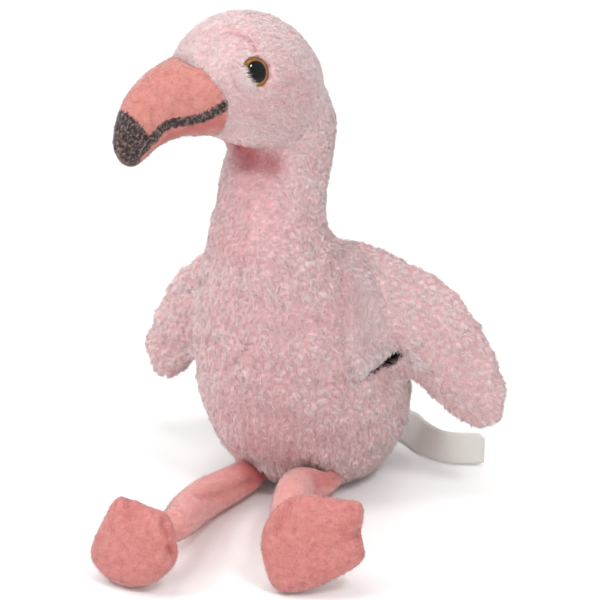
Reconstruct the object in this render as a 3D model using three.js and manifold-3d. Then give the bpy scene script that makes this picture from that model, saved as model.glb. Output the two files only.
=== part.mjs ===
// A seated plush flamingo with a stuffed beak, safety eyes, velour legs and webbed feet.
// Units are millimetres. +Z is up, the toy faces -Y and its left side is +X.
// The origin is the centre of the flat patch of the seat, on the ground.
import * as THREE from 'three';
import { mergeVertices } from 'three/addons/utils/BufferGeometryUtils.js';
import Module from 'manifold-3d';

const wasm = await Module();
wasm.setup();

// Driving dimensions
const gap = 0.3; // between neighbouring pieces
const degree = Math.PI / 180;

// Trunk and neck: level sections, from the seat upwards, through the midplane of the toy.
const trunkLevels = [
  // height, centre forward (-) or back (+), half width, half depth
  { z: 0, y: 0, width: 19, depth: 19 },
  { z: 3, y: 0, width: 25, depth: 25 },
  { z: 9, y: 0, width: 30.2, depth: 30.4 },
  { z: 20, y: -1.5, width: 35.4, depth: 35.2 },
  { z: 34, y: -4.5, width: 38, depth: 37 },
  { z: 50, y: -10, width: 36, depth: 35.5 },
  { z: 64, y: -15.5, width: 33, depth: 32 },
  { z: 77, y: -20.5, width: 29, depth: 28 },
  { z: 88, y: -26, width: 23.8, depth: 24.5 },
  { z: 98, y: -30.2, width: 19.5, depth: 20.5 },
  { z: 110, y: -27.5, width: 18.1, depth: 18.9 },
  { z: 122, y: -22, width: 18, depth: 18.8 },
  { z: 133, y: -19.5, width: 17.5, depth: 18.5 },
  { z: 144, y: -21, width: 14, depth: 14 },
];
const trunkRings = 30;
const trunkSides = 32;

// Head
const headCentre = new THREE.Vector3(-6.5, -32, 145);
const headTurn = -30 * degree; // the head looks towards the toy's right
const headSize = { side: 23.4, forward: 26.4, up: 23.8 };
const headPitch = 34 * degree; // its long axis rises to the front
const chin = { direction: new THREE.Vector3(0, -0.62, -0.78), tuck: 0.17 }; // pulled in under the beak

// Beak, in the head's own frame: forward and up from the head's centre
const beakSpine = [
  { forward: 10, up: 0.2, width: 18.2, depth: 14.8 },
  { forward: 18, up: 0, width: 17.2, depth: 14 },
  { forward: 22, up: -0.4, width: 15.4, depth: 13.3 },
  { forward: 28.5, up: -1.5, width: 12, depth: 12.2 },
  { forward: 35.5, up: -5.2, width: 9.6, depth: 10.8 },
  { forward: 41, up: -11.5, width: 7.2, depth: 7.8 },
  { forward: 44.2, up: -20.8, width: 4.9, depth: 5.5 },
];

// Eyes
const eyeDiameter = 10;
const eyeDome = 3.4; // half thickness
const eyePlace = { forward: 8.4, side: 18.4, up: 9 };
const eyeTurn = 95 * degree; // away from straight ahead
const eyeLift = 18 * degree;

// Cuts that part the plush shell
const neckCut = { y: -28.5, z: 97, tilt: -8 * degree };
const headCut = { y: -27, z: 127, tilt: 24 * degree };

// Wings: a drooping paddle, drawn in an upright plane that sweeps back from the shoulder
const wingSweep = 11 * degree;
const wingPlaneBack = -7; // where that plane crosses the midplane
const wingThickness = 14;
const wingSpine = [
  // outwards, height, half width
  { out: 5, z: 66, half: 24 },
  { out: 17, z: 64.5, half: 23.8 },
  { out: 32, z: 64, half: 20.6 },
  { out: 44.5, z: 57.8, half: 18.6 },
  { out: 53, z: 48.2, half: 15.6 },
  { out: 60.8, z: 37.5, half: 13 },
  { out: 66.2, z: 24.8, half: 11 },
];
const wings = {
  // turn about the shoulder, sag of the whole wing, and share of the full breadth
  left: { droop: 0, sag: 0, breadth: 1 },
  right: { droop: 0, sag: 4.6, breadth: 0.88 },
};
const shoulder = { out: 14, z: 66 };

// Legs and feet
const legs = {
  // centre line and half thickness, from the seat to the foot
  right: [
    { x: -9, y: -16, z: 8, half: 6.2 },
    { x: -9, y: -33, z: 7.2, half: 6.4 },
    { x: -11.5, y: -52, z: 8.2, half: 7.2 },
    { x: -8.2, y: -72, z: 11.6, half: 7 },
    { x: -3, y: -88, z: 15.6, half: 5.9 },
    { x: -2, y: -96, z: 17.6, half: 5.4 },
  ],
  left: [
    { x: 15, y: -12, z: 9, half: 6.2 },
    { x: 17, y: -24, z: 8.5, half: 6.2 },
    { x: 15, y: -38, z: 12, half: 6.2 },
    { x: 21, y: -56, z: 15.5, half: 6.2 },
    { x: 28, y: -72, z: 17, half: 6 },
    { x: 33, y: -80, z: 19, half: 5.6 },
  ],
};
const footThickness = 12;
const footLean = 10 * degree;
const feet = {
  // lobes of the webbed pad: direction from the pad's centre in degrees, reach
  right: {
    centre: [-9.6, -103.5, 14.4],
    turn: -2 * degree,
    lobes: [
      [-90, 15], [-50, 14.8], [-10, 16.6], [12, 16.2], [45, 16.8], [78, 13.6],
      [112, 16.2], [155, 12.8], [205, 17.2], [235, 16.4],
    ],
  },
  left: {
    centre: [42, -81.5, 18.2],
    turn: 20 * degree,
    lobes: [
      [-98, 18.2], [-55, 15.4], [-20, 18], [5, 15.8], [38, 19.8], [62, 15],
      [105, 14.8], [140, 15.6], [185, 17], [238, 21.6],
    ],
  },
};

// Tail: a short flap low on the back
const tail = { root: 24, tip: 51, z: 34, droop: 7, width: 27, thickness: 14 };

// Care tag: a folded ribbon sewn in the seam at the back of the seat
const tagHeight = 12;
const tagThickness = 1;
const tagLift = 0.5;
const tagRootLean = 70 * degree; // it leans outwards at the seam and stands up towards its fold
const tagPath = [
  [7, 27],
  [15, 33.5],
  [22, 32.5],
  [31, 26.5],
  [42, 23.2],
  [54.5, 28.5],
];

// Finishes
const plush = { color: 0xe3c4c6, roughness: 0.95, metalness: 0 };
const velour = { color: 0xdc9088, roughness: 0.9, metalness: 0 };
const beakVelour = { color: 0xe2988f, roughness: 0.9, metalness: 0 };
const eyePlastic = { color: 0x1a100c, roughness: 0.08, metalness: 0 };
const ribbon = { color: 0xd6d3cc, roughness: 0.55, metalness: 0 };

// Solids

function toSolid(geometry) {
  const bare = geometry.clone();
  bare.deleteAttribute('normal');
  bare.deleteAttribute('uv');
  const merged = mergeVertices(bare, 1e-5);
  const vertProperties = new Float32Array(merged.attributes.position.array);
  const triVerts = new Uint32Array(merged.index.array);
  return new wasm.Manifold(new wasm.Mesh({ numProp: 3, vertProperties, triVerts }));
}

function toGeometry(solid) {
  const mesh = solid.getMesh();
  const geometry = new THREE.BufferGeometry();
  geometry.setAttribute('position', new THREE.BufferAttribute(mesh.vertProperties, 3));
  geometry.setIndex(new THREE.BufferAttribute(mesh.triVerts, 1));
  return geometry;
}

// Closed skin over a stack of equal rings of points, with a fan at each end.
function loft(rings) {
  const sides = rings[0].length;
  const points = rings.flat();
  const middle = (ring) => ring.reduce((sum, p) => sum.add(p), new THREE.Vector3()).divideScalar(sides);
  points.push(middle(rings[0]), middle(rings[rings.length - 1]));
  const first = rings.length * sides;
  const index = [];
  for (let side = 0; side < sides; side += 1) {
    const next = (side + 1) % sides;
    for (let ring = 0; ring < rings.length - 1; ring += 1) {
      const low = ring * sides;
      const high = low + sides;
      index.push(low + side, low + next, high + next, low + side, high + next, high + side);
    }
    const last = first - sides;
    index.push(first, next, side, first + 1, last + side, last + next);
  }
  const geometry = new THREE.BufferGeometry();
  geometry.setAttribute('position', new THREE.Float32BufferAttribute(points.flatMap((p) => p.toArray()), 3));
  geometry.setIndex(index);
  return geometry;
}

// Stations from 0 to 1, closer together near both ends so that the ends come out round.
function stations(count) {
  return Array.from({ length: count + 1 }, (_, i) => (1 - Math.cos((Math.PI * i) / count)) / 2);
}

// Full size along the middle, falling to nothing on a quarter circle over each end's share.
function roundEnds(t, startShare, endShare) {
  const fall = (left, share) => (left >= share ? 1 : Math.sqrt(1 - (1 - left / share) ** 2));
  return Math.max(0.04, Math.min(fall(t, startShare), fall(1 - t, endShare)));
}

// Up to three fields of a list of stations, read smoothly from the first (t = 0) to the last (t = 1).
function profile(list, fields) {
  const curve = new THREE.CatmullRomCurve3(
    list.map((row) => new THREE.Vector3(...fields.map((field) => row[field]))),
  );
  return (t) => {
    const values = curve.getPoint(t).toArray();
    return Object.fromEntries(fields.map((field, i) => [field, values[i]]));
  };
}

// Oval rings along a curve: `across` points along one radius, the other is square to it.
function sweep({ path, radii, across, count, sides }) {
  const rings = stations(count).map((t) => {
    const centre = path(t);
    const ahead = path(Math.min(1, t + 0.01)).sub(path(Math.max(0, t - 0.01))).normalize();
    const wide = across.clone().addScaledVector(ahead, -across.dot(ahead)).normalize();
    const deep = new THREE.Vector3().crossVectors(ahead, wide);
    const [width, depth] = radii(t);
    return Array.from({ length: sides }, (_, i) => {
      const angle = (2 * Math.PI * i) / sides;
      return centre
        .clone()
        .addScaledVector(wide, width * Math.cos(angle))
        .addScaledVector(deep, depth * Math.sin(angle));
    });
  });
  return toSolid(loft(rings));
}

// A large block whose top (side 1) or bottom (side -1) lies on a tilted plane through (0, y, z).
function halfSpace({ y, z, tilt }, side, offset) {
  const reach = 400;
  const block = new THREE.BoxGeometry(reach, reach, reach);
  block.translate(0, 0, (-side * reach) / 2);
  block.rotateX(tilt);
  block.translate(0, y, z + offset);
  return toSolid(block);
}

// Plush shell

function trunkSolid(grow) {
  const place = profile(trunkLevels, ['y', 'z']);
  const size = profile(trunkLevels, ['width', 'depth']);
  const rings = Array.from({ length: trunkRings + 1 }, (_, i) => {
    const t = i / trunkRings;
    const { y, z } = place(t);
    const { width, depth } = size(t);
    return Array.from({ length: trunkSides }, (_, side) => {
      const angle = (2 * Math.PI * side) / trunkSides;
      return new THREE.Vector3(
        (width + grow) * Math.cos(angle),
        y + (depth + grow) * Math.sin(angle),
        Math.max(z, -grow),
      );
    });
  });
  return toSolid(loft(rings));
}

// A ball that is longer towards the upper front, with the chin drawn in.
function headSolid(grow) {
  const ball = new THREE.SphereGeometry(1, 30, 18);
  ball.scale(headSize.side + grow, headSize.forward + grow, headSize.up + grow);
  ball.rotateX(-headPitch);
  const corners = ball.attributes.position;
  const corner = new THREE.Vector3();
  for (let i = 0; i < corners.count; i += 1) {
    corner.fromBufferAttribute(corners, i);
    const facing = Math.max(0, corner.clone().normalize().dot(chin.direction));
    corner.multiplyScalar(1 - chin.tuck * facing ** 4);
    corners.setXYZ(i, corner.x, corner.y, corner.z);
  }
  ball.applyMatrix4(headGroup.matrixWorld);
  return toSolid(ball);
}

function plushSolid(grow) {
  return trunkSolid(grow).add(headSolid(grow));
}

// Stuffed beak: thick at the face and hooked down to a blunt tip.
function beakSolid() {
  const place = profile(beakSpine, ['forward', 'up']);
  const size = profile(beakSpine, ['width', 'depth']);
  const solid = sweep({
    path: (t) => new THREE.Vector3(0, -place(t).forward, place(t).up),
    radii: (t) => {
      const round = roundEnds(t, 0.02, 0.14);
      return [size(t).width * round, size(t).depth * round];
    },
    across: new THREE.Vector3(1, 0, 0),
    count: 18,
    sides: 24,
  });
  return toSolid(toGeometry(solid).applyMatrix4(headGroup.matrixWorld));
}

// Domed safety eye: side is 1 for the toy's left.
function eyeSolid(side, grow) {
  const dome = new THREE.SphereGeometry(1, 16, 8);
  dome.scale(eyeDiameter / 2 + grow, eyeDome + grow, eyeDiameter / 2 + grow);
  dome.rotateX(-eyeLift);
  dome.rotateZ(side * eyeTurn);
  dome.translate(side * eyePlace.side, -eyePlace.forward, eyePlace.up);
  dome.applyMatrix4(headGroup.matrixWorld);
  return toSolid(dome);
}

// Wings

function wingSolid(side, { droop, sag, breadth }) {
  const along = new THREE.Vector3(side * Math.cos(wingSweep), Math.sin(wingSweep), 0);
  const through = new THREE.Vector3(-side * Math.sin(wingSweep), Math.cos(wingSweep), 0);
  const place = profile(wingSpine, ['out', 'z', 'half']);
  const pivot = new THREE.Vector2(shoulder.out, shoulder.z);
  return sweep({
    path: (t) => {
      const { out, z } = place(t);
      const spot = new THREE.Vector2(out, z).rotateAround(pivot, -droop);
      return new THREE.Vector3(0, wingPlaneBack, spot.y - sag).addScaledVector(along, spot.x);
    },
    radii: (t) => {
      const half = place(t).half * breadth * roundEnds(t, 0.02, 0.2);
      const thick = (wingThickness / 2) * roundEnds(t, 0.02, 0.25);
      return [thick, half];
    },
    across: through,
    count: 16,
    sides: 20,
  });
}

// Legs and feet

function legSolid(stops) {
  const place = profile(stops, ['x', 'y', 'z']);
  const size = profile(stops, ['half']);
  return sweep({
    path: (t) => {
      const { x, y, z } = place(t);
      return new THREE.Vector3(x, y, z);
    },
    radii: (t) => Array(2).fill(size(t).half * roundEnds(t, 0.05, 0.05)),
    across: new THREE.Vector3(1, 0, 0),
    count: 16,
    sides: 14,
  });
}

// Webbed pad, drawn upright facing -Y: a closed outline with soft front and back.
function footSolid({ lobes }, group, grow) {
  const corners = lobes.map(([angle, reach]) => {
    const a = angle * degree;
    return new THREE.Vector3((reach + grow) * Math.cos(a), 0, (reach + grow) * Math.sin(a));
  });
  const outline = new THREE.CatmullRomCurve3(corners, true);
  const sides = 32;
  const layers = 10;
  const rings = [];
  for (let layer = 1; layer < layers; layer += 1) {
    const slope = (Math.PI * layer) / layers - Math.PI / 2;
    const share = Math.cos(slope) ** 0.6;
    const back = (footThickness / 2 + grow) * Math.sin(slope);
    rings.push(
      Array.from({ length: sides }, (_, i) => {
        const p = outline.getPoint(i / sides);
        return new THREE.Vector3(p.x * share, back, p.z * share);
      }),
    );
  }
  const pad = loft(rings);
  pad.index.array.reverse(); // the outline runs clockwise seen from the last ring
  pad.applyMatrix4(group.matrixWorld);
  return toSolid(pad);
}

// Tail and tag

function tailSolid() {
  return sweep({
    path: (t) => {
      const back = THREE.MathUtils.lerp(tail.root, tail.tip, t);
      return new THREE.Vector3(0, back, tail.z - tail.droop * t * t);
    },
    radii: (t) => {
      const taper = (1 - 0.45 * t) * roundEnds(t, 0.05, 0.35);
      return [(tail.width / 2) * taper, (tail.thickness / 2) * taper];
    },
    across: new THREE.Vector3(1, 0, 0),
    count: 10,
    sides: 16,
  });
}

function tagSolid() {
  const curve = new THREE.CatmullRomCurve3(tagPath.map(([x, y]) => new THREE.Vector3(x, y, 0)));
  const steps = 16;
  const rings = Array.from({ length: steps + 1 }, (_, i) => {
    const centre = curve.getPoint(i / steps);
    const ahead = curve.getTangent(i / steps);
    const out = new THREE.Vector3(ahead.y, -ahead.x, 0).multiplyScalar(tagThickness / 2);
    const lean = tagRootLean * (1 - i / steps) ** 2;
    const away = out.clone().normalize().multiplyScalar(-Math.sin(lean) * tagHeight);
    const low = new THREE.Vector3(0, 0, tagLift);
    const high = away.add(new THREE.Vector3(0, 0, tagLift + Math.cos(lean) * tagHeight));
    return [
      centre.clone().sub(out).add(low),
      centre.clone().sub(out).add(high),
      centre.clone().add(out).add(high),
      centre.clone().add(out).add(low),
    ];
  });
  return toSolid(loft(rings));
}

// Assembly

function makeGroup(parent, position, turn = 0, lean = 0) {
  const group = new THREE.Group();
  group.position.set(...position);
  group.rotation.set(lean, 0, turn, 'ZXY');
  parent.add(group);
  group.updateWorldMatrix(true, false);
  return group;
}

function addPart(group, name, solid, finish) {
  const geometry = toGeometry(solid).applyMatrix4(group.matrixWorld.clone().invert());
  const mesh = new THREE.Mesh(geometry, new THREE.MeshStandardMaterial(finish));
  mesh.name = name;
  group.add(mesh);
}

const group = new THREE.Group();
const headGroup = makeGroup(group, headCentre.toArray(), headTurn);

const shell = plushSolid(0);
const shellClear = plushSolid(gap);
const ground = halfSpace({ y: 0, z: 0, tilt: 0 }, 1, 0);

// The plush shell is one sewn skin, parted at the base and at the top of the neck.
const body = shell.intersect(halfSpace(neckCut, 1, -gap / 2));
const neck = shell
  .intersect(halfSpace(neckCut, -1, gap / 2))
  .intersect(halfSpace(headCut, 1, -gap / 2));
let head = shell.intersect(halfSpace(headCut, -1, gap / 2));
for (const side of [1, -1]) {
  head = head.subtract(eyeSolid(side, gap));
  addPart(headGroup, side > 0 ? 'eye_left' : 'eye_right', eyeSolid(side, 0), eyePlastic);
}
addPart(group, 'body', body, plush);
addPart(group, 'neck', neck, plush);
addPart(headGroup, 'head', head, plush);
addPart(headGroup, 'beak', beakSolid().subtract(shellClear), beakVelour);

for (const [name, side] of [['left', 1], ['right', -1]]) {
  const root = makeGroup(group, [side * shoulder.out, wingPlaneBack, shoulder.z], side * wingSweep);
  addPart(root, `wing_${name}`, wingSolid(side, wings[name]).subtract(shellClear), plush);
}

for (const side of ['right', 'left']) {
  const { centre, turn } = feet[side];
  const { x, y, z } = legs[side][0];
  const leg = makeGroup(group, [x, y, z]);
  const foot = makeGroup(group, centre, turn, -footLean);
  const pad = footSolid(feet[side], foot, 0).subtract(ground);
  const limb = legSolid(legs[side]).subtract(shellClear).subtract(footSolid(feet[side], foot, gap));
  addPart(leg, `leg_${side}`, limb, velour);
  addPart(foot, `foot_${side}`, pad, velour);
}

addPart(group, 'tail', tailSolid().subtract(shellClear), plush);
addPart(group, 'tag', tagSolid().subtract(shellClear), ribbon);

export default group;
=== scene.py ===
import math

import bpy
import numpy as np
from mathutils import Matrix, Vector, kdtree
from mathutils.bvhtree import BVHTree


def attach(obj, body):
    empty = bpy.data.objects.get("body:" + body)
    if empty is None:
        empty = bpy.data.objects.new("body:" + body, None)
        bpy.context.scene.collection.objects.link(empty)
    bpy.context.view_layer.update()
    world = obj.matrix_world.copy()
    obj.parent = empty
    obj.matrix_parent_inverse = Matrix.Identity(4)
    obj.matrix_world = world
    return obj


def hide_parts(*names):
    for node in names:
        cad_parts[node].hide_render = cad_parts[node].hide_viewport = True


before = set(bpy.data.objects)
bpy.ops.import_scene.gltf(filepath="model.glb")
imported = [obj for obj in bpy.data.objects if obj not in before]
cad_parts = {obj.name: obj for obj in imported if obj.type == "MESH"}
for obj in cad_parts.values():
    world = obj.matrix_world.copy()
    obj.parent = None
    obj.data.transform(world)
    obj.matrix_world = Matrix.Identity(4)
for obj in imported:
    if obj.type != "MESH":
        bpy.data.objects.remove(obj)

mm = 0.001
degree = math.pi / 180
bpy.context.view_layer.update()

# Camera, lights and floor

shot = {"turn": 27 * degree, "height": 20 * degree, "away": 700 * mm, "lens": 117.96, "across": -3.56 * mm,
        "up": 59.1 * mm, "nearest": 0.05, "farthest": 20}


def addCamera():
    turn, height = shot["turn"], shot["height"]
    back = Vector((math.sin(turn) * math.cos(height), -math.cos(turn) * math.cos(height), math.sin(height)))
    right = Vector((math.cos(turn), math.sin(turn), 0))
    up = back.cross(right)
    bpy.ops.object.camera_add(location=back * shot["away"] + right * shot["across"] + up * shot["up"],
                              rotation=(math.pi / 2 - height, 0, turn))
    camera = bpy.context.object
    camera.data.lens = shot["lens"]
    camera.data.clip_start = shot["nearest"]
    camera.data.clip_end = shot["farthest"]
    bpy.context.scene.camera = camera


toyMiddle = (0, -0.02, 0.08)
lamps = {  # place, aim, size and power
    "key": ((-0.65, -0.6, 1.3), toyMiddle, 0.5, 5.4),
    "fill": ((0.8, -0.42, 1.2), toyMiddle, 0.3, 6.2),
    "front": ((-0.15, -1.25, 0.4), toyMiddle, 0.8, 4.4),
    "top": ((-0.1, -0.1, 1.3), toyMiddle, 0.45, 2.8),
    "back": ((-1.1, 2.2, 1.7), (-1.1, 2.3, 0), 2.4, 22.0),
}
room = {"world": 0.76, "floor": (0.88, 0.88, 0.88), "width": 8.0}


def addLamps():
    for name, (place, aim, size, power) in lamps.items():
        place = Vector(place)
        turn = (Vector(aim) - place).to_track_quat("-Z", "Y").to_euler()
        bpy.ops.object.light_add(type="AREA", location=place, rotation=turn)
        light = bpy.context.object
        light.name = name
        light.data.size = size
        light.data.energy = power
    world = bpy.data.worlds.new("studio")
    world.use_nodes = True
    background = world.node_tree.nodes["Background"]
    background.inputs["Color"].default_value = (1, 1, 1, 1)
    background.inputs["Strength"].default_value = room["world"]
    bpy.context.scene.world = world
    bpy.context.scene.view_settings.view_transform = "Standard"


# Materials

class Wire:  # one socket of a material, so that masks add and multiply as numbers do
    def __init__(self, tree, socket=None):
        self.tree = tree
        self.socket = socket

    def node(self, kind, settings=None, sockets=None, output=0):
        made = self.tree.nodes.new(kind)
        for name, value in (settings or {}).items():
            setattr(made, name, value)
        for name, value in (sockets or {}).items():
            if isinstance(value, Wire):
                self.tree.links.new(value.socket, made.inputs[name])
            else:
                made.inputs[name].default_value = value
        return Wire(self.tree, made.outputs[output])

    def maths(self, operation, first, second):
        return self.node("ShaderNodeMath", {"operation": operation}, {0: first, 1: second})

    def __add__(self, other):
        return self.maths("ADD", self, other)

    def __sub__(self, other):
        return self.maths("SUBTRACT", self, other)

    def __rsub__(self, other):
        return self.maths("SUBTRACT", other, self)

    def __mul__(self, other):
        return self.maths("MULTIPLY", self, other)

    __radd__ = __add__
    __rmul__ = __mul__


def attribute(wire, name):
    return wire.node("ShaderNodeAttribute", {"attribute_name": name}, output=2)


def noise(wire, scale, detail=2.0, rough=0.5):
    place = wire.node("ShaderNodeTexCoord", output=3)
    return wire.node("ShaderNodeTexNoise", None,
                     {"Vector": place, "Scale": scale, "Detail": detail, "Roughness": rough})


def step(wire, value, low, high, start=0.0, end=1.0):
    return wire.node("ShaderNodeMapRange", {"interpolation_type": "SMOOTHSTEP"},
                     {0: value, 1: low, 2: high, 3: start, 4: end})


def mixed(wire, share, first, second):
    return wire.node("ShaderNodeMix", {"data_type": "RGBA"}, {0: share, 6: first, 7: second}, output=2)


def newFinish(name, rough, **constants):
    finish = bpy.data.materials.new(name)
    finish.use_nodes = True
    tree = finish.node_tree
    shader = tree.nodes["Principled BSDF"]
    shader.inputs["Roughness"].default_value = rough
    for socket, value in constants.items():
        shader.inputs[socket.replace("_", " ")].default_value = value
    return finish, Wire(tree), shader


def paint(wire, shader, colour, bump=None, strength=0.4, distance=0.2 * mm):
    wire.tree.links.new(colour.socket, shader.inputs["Base Color"])
    if bump is not None:
        sockets = {"Strength": strength, "Distance": distance, "Height": bump}
        normal = wire.node("ShaderNodeBump", None, sockets)
        wire.tree.links.new(normal.socket, shader.inputs["Normal"])


# pale and pink are the pile's own colours; deep is painted shade
plushColour = {"pale": (0.84, 0.765, 0.76, 1), "pink": (0.76, 0.50, 0.505, 1), "blushAndShade": (0.82, 0.46, 0.48, 1),
               "deep": (0.46, 0.12, 0.135, 1), "pitShade": (0.006, 0.005, 0.005, 1)}
plushRosy = {"crease": 0.65, "under": 0.55, "tone": -0.5}  # how far each mark turns the pile pink: crease is painted shade in the valleys of the clumps, under is partly the roots' own deeper pink and partly painted shade, and tone turns it paler
plushGrain = {"patch": 90.0, "patchShare": 0.6, "strand": 1900.0, "strandShare": 0.4, "level": 0.04,
              "range": (-0.25, 0.85), "blushAndShadeRange": (0.3, 0.7, 0.5, 0.9), "rootShade": 0.1, "bump": 0.5,
              "height": 0.15 * mm}


def plushFinish():
    finish, wire, shader = newFinish("plush", 0.9, Sheen_Weight=0.16, Sheen_Roughness=0.5,
                                     Sheen_Tint=(1, 0.86, 0.86, 1), Specular_IOR_Level=0.0)
    patchy = noise(wire, plushGrain["patch"], 3.0)
    strand = noise(wire, plushGrain["strand"], 2.0)
    rosy = (patchy - 0.5) * plushGrain["patchShare"] + (strand - 0.5) * plushGrain["strandShare"]
    rosy = rosy + plushGrain["level"]
    # crease and under turn the pile pinker as painted shade, under partly for the roots' own deeper pink;
    # tone makes it paler
    for mark, share in plushRosy.items():
        rosy = rosy + attribute(wire, mark) * share
    colour = mixed(wire, step(wire, rosy, *plushGrain["range"]), plushColour["pale"], plushColour["pink"])
    # pinker places: the pile's own colour, and painted shade under the chin and round the seat
    blushAndShade = attribute(wire, "blushAndShade") * step(wire, patchy, *plushGrain["blushAndShadeRange"])
    colour = mixed(wire, blushAndShade, colour, plushColour["blushAndShade"])
    # painted shade: along the folds, on the skin among the tufts and a little at each tuft's root
    deep = attribute(wire, "deep") + attribute(wire, "under") * plushGrain["rootShade"]
    colour = mixed(wire, deep, colour, plushColour["deep"])
    # the opening under the wing is painted near black inside, as its shade
    colour = mixed(wire, attribute(wire, "pitShade"), colour, plushColour["pitShade"])
    paint(wire, shader, colour, strand, plushGrain["bump"], plushGrain["height"])
    return finish


# the legs are painted lighter than the feet, though they are the same velour: painted light for legs that lie
# in shade
velourColour = {"beak": {"nap": (0.66, 0.34, 0.305, 1), "deep": (0.50, 0.185, 0.158, 1)},
                "leg": {"nap": (0.92, 0.52, 0.49, 1), "deep": (0.70, 0.28, 0.26, 1)},
                "foot": {"nap": (0.73, 0.375, 0.352, 1), "deep": (0.48, 0.155, 0.142, 1)},
                "shade": (0.40, 0.055, 0.055, 1), "spray": (0.034, 0.026, 0.026, 1),
                "sprayNap": (0.24, 0.17, 0.16, 1)}
velourGrain = {"fine": 2100.0, "fineShare": 0.35, "patch": 420.0, "patchShare": 0.45, "tone": 0.45,
               "speckle": 950.0, "edge": 900.0, "edgeShare": 1.3, "detail": 3.0, "rough": 0.6,
               "sprayRough": 0.75, "range": (0.3, 1.0), "speckled": (0.44, 0.70), "sprayed": (0.3, 0.7),
               "bump": 0.5, "height": 0.15 * mm}


def velourFinish(name):
    finish, wire, shader = newFinish(name, 0.8, Sheen_Weight=0.4, Sheen_Roughness=0.4, Specular_IOR_Level=0.1)
    look = velourGrain
    grain = noise(wire, look["fine"], look["detail"], look["rough"])
    patchy = noise(wire, look["patch"], look["detail"], look["rough"])
    shares = grain * look["fineShare"] + patchy * look["patchShare"] + attribute(wire, "tone") * look["tone"]
    colour = mixed(wire, step(wire, shares, *look["range"]), velourColour[name]["deep"],
                   velourColour[name]["nap"])
    # painted shade along the creases
    colour = mixed(wire, attribute(wire, "deep"), colour, velourColour["shade"])
    if name == "beak":
        speckle = noise(wire, look["speckle"], look["detail"], look["sprayRough"])
        sprayed = mixed(wire, step(wire, speckle, *look["speckled"]), velourColour["spray"],
                        velourColour["sprayNap"])
        ragged = (noise(wire, look["edge"], look["detail"], look["sprayRough"]) - 0.5) * look["edgeShare"]
        edge = step(wire, attribute(wire, "spray") + ragged, *look["sprayed"])
        colour = mixed(wire, edge, colour, sprayed)
    paint(wire, shader, colour, grain, look["bump"], look["height"])
    return finish


ribbonColour = {"thread": (0.70, 0.685, 0.64, 1), "gap": (0.56, 0.545, 0.505, 1)}


def ribbonFinish():
    finish, wire, shader = newFinish("ribbon", 0.42, Sheen_Weight=0.15, Specular_IOR_Level=0.45)
    weave = wire.node("ShaderNodeTexWave", {"bands_direction": "Z"},
                      {"Vector": wire.node("ShaderNodeTexCoord", output=3), "Scale": 900.0, "Distortion": 1.5,
                       "Detail": 2.0, "Detail Scale": 3.0}, output=1)
    colour = mixed(wire, step(wire, weave, 0.1, 0.8), ribbonColour["gap"], ribbonColour["thread"])
    paint(wire, shader, colour, weave, 0.25, 0.08 * mm)
    return finish


# Tools for soft meshes

def pick(*objects):
    bpy.ops.object.select_all(action="DESELECT")
    for item in objects:
        item.select_set(True)
    bpy.context.view_layer.objects.active = objects[-1]


def shape(obj, kind, **settings):
    modifier = obj.modifiers.new(kind, kind)
    for name, value in settings.items():
        setattr(modifier, name, value)
    pick(obj)
    bpy.ops.object.modifier_apply(modifier=modifier.name)


def inEdit(obj, operator, **settings):  # runs an edit mode operator on a whole mesh
    pick(obj)
    bpy.ops.object.mode_set(mode="EDIT")
    bpy.ops.mesh.select_all(action="SELECT")
    operator(**settings)
    bpy.ops.object.mode_set(mode="OBJECT")


def remesh(obj, voxel, rounds):  # one even skin, with its steps smoothed away
    shape(obj, "REMESH", mode="VOXEL", voxel_size=voxel)
    shape(obj, "SMOOTH", factor=0.5, iterations=rounds)


def add(name, primitive, **settings):  # a new primitive, with nothing else selected
    bpy.ops.object.select_all(action="DESELECT")
    primitive(**settings)
    bpy.context.object.name = name
    return bpy.context.object


def softCopy(name, nodes):
    copies = []
    for node in nodes:
        copy = bpy.data.objects.new(name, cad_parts[node].data.copy())
        copy.data.materials.clear()
        bpy.context.scene.collection.objects.link(copy)
        copies.append(copy)
    pick(*copies)
    if len(copies) > 1:
        bpy.ops.object.join()
    made = bpy.context.object
    made.name = name
    inEdit(made, bpy.ops.mesh.remove_doubles, threshold=0.01 * mm)
    return made


def read(data, what, width, kind=np.float32):  # one row for each vertex, triangle or corner
    flat = np.empty(len(data) * width, kind)
    data.foreach_get(what, flat)
    return flat.reshape(-1, width)


def points(obj):
    return read(obj.data.vertices, "co", 3).astype(float)


def normals(obj):
    return read(obj.data.vertices, "normal", 3).astype(float)


def movePoints(obj, places):
    obj.data.vertices.foreach_set("co", places.astype(np.float32).ravel())
    obj.data.update()


def swell(obj, amount):  # moves every point out along its normal, or in where the amount is negative
    movePoints(obj, points(obj) + normals(obj) * np.reshape(amount, (-1, 1)))


def keep(obj, name, values):
    made = obj.data.attributes.new(name, "FLOAT", "POINT")
    made.data.foreach_set("value", values.astype(np.float32))


def far(vectors):  # how long each one is
    return np.linalg.norm(vectors, axis=-1)


def unit(vectors):
    return vectors / np.maximum(far(vectors)[..., None], 1e-12)


def tilt(vectors, towards, turn):  # turns them towards others that stand square on them
    return vectors * np.cos(turn)[:, None] + towards * np.sin(turn)[:, None]


def bell(gap, reach):  # 1 at no gap, soon 0 past the reach
    return np.exp(-((gap / reach) ** 2))


def polyGap(places, line):  # distance of each place to a line of several points, both in the same unit
    corners = np.array(line, float)
    best = np.full(len(places), np.inf)
    for start, end in zip(corners[:-1], corners[1:]):
        run = end - start
        share = np.clip((places - start) @ run / (run @ run), 0, 1)
        best = np.minimum(best, far(places - start - share[:, None] * run))
    return best


def lineGap(places, line):  # the same in metres, from a line in millimetres
    return polyGap(places, np.array(line, float) * mm)


def groove(radius, depth, paintedShade, *line):  # in millimetres, and a ridge where the depth is negative; paintedShade is how much painted shade lies along it
    return {"line": line, "radius": radius, "depth": depth, "paintedShade": paintedShade}


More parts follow.
